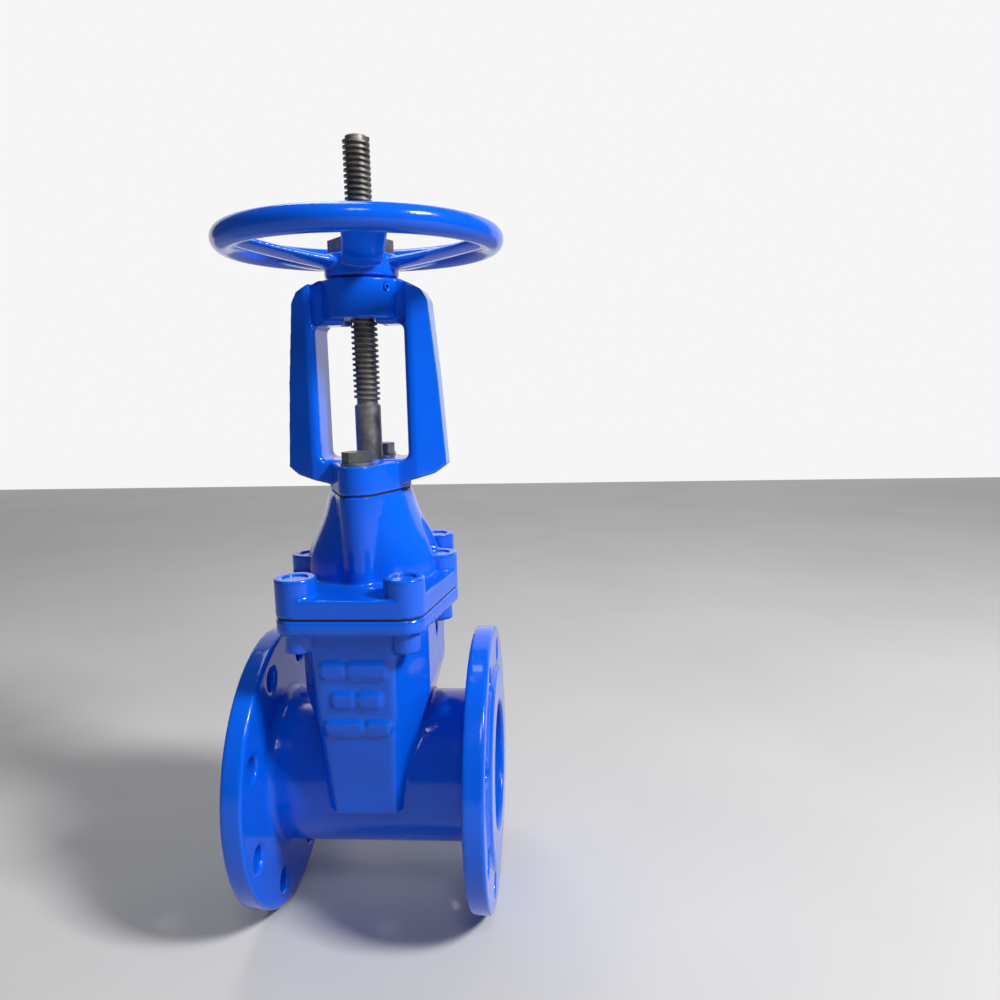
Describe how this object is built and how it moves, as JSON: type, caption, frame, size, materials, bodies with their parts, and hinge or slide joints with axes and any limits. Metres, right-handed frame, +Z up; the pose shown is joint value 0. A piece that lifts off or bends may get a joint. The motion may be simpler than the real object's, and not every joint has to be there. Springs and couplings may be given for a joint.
{
  "type": "gate valve",
  "caption": "Flanged rising-stem gate valve with an outside screw and yoke, a blue iron body, a resilient wedge and a round handwheel that drives the stem nut.",
  "frame": {"origin": "on the stem axis, at the level of the lowest point of the two round pipe flanges", "axes": "+X along the pipe axis, +Z up along the stem axis; the valve is symmetric fore and aft along Y"},
  "size_m": [0.2126, 0.22, 0.594],
  "materials": {
    "blue_epoxy": "glossy fusion-bonded epoxy over ductile iron",
    "blue_plug": "glossy",
    "black_rubber": "matte black rubber",
    "stem_steel": "turned stainless steel",
    "brass": "machined",
    "zinc_steel": "zinc plated",
    "ductile_iron": "as cast",
    "guide_plastic": "moulded plastic"
  },
  "bodies": {
    "valve_body": {"body": "blue_epoxy", "bonnet": "blue_epoxy", "yoke": "blue_epoxy", "screw_plugs": "blue_plug", "bonnet_gasket": "black_rubber", "yoke_gasket": "black_rubber", "wiper_ring": "black_rubber", "outer_o_rings": "black_rubber", "inner_o_rings": "black_rubber", "backseat_ring": "brass", "seal_carrier": "brass", "upper_thrust_washer": "brass", "lower_thrust_washer": "brass", "retainer_ring": "zinc_steel", "retainer_grub_screw": "blue_epoxy", "bonnet_screws": "zinc_steel", "yoke_bolts": "zinc_steel", "yoke_washers": "zinc_steel"},
    "wheel_group": {"handwheel": "blue_epoxy", "stem_nut": "brass", "handwheel_key": "zinc_steel", "wheel_washer": "zinc_steel", "wheel_locknut": "zinc_steel"},
    "stem_group": {"stem": "stem_steel", "stem_pin": "stem_steel", "wedge_core": "ductile_iron", "wedge_rubber": "black_rubber", "wedge_guides": "guide_plastic"}
  },
  "joints": [
    {"name": "handwheel_spin", "type": "hinge", "parent": "valve_body", "child": "wheel_group", "pos_m": [0, 0, 0.4925], "axis": [0, 0, 1], "range_deg": [-3960, 5040]},
    {"name": "stem_lift", "type": "slide", "parent": "valve_body", "child": "stem_group", "axis": [0, 0, 1], "range_m": [-0.0442, 0.0562]}
  ],
  "couplings": [
    {"joint": "stem_lift", "follows": "handwheel_spin", "m_per_rad": 0.00063662}
  ]
}
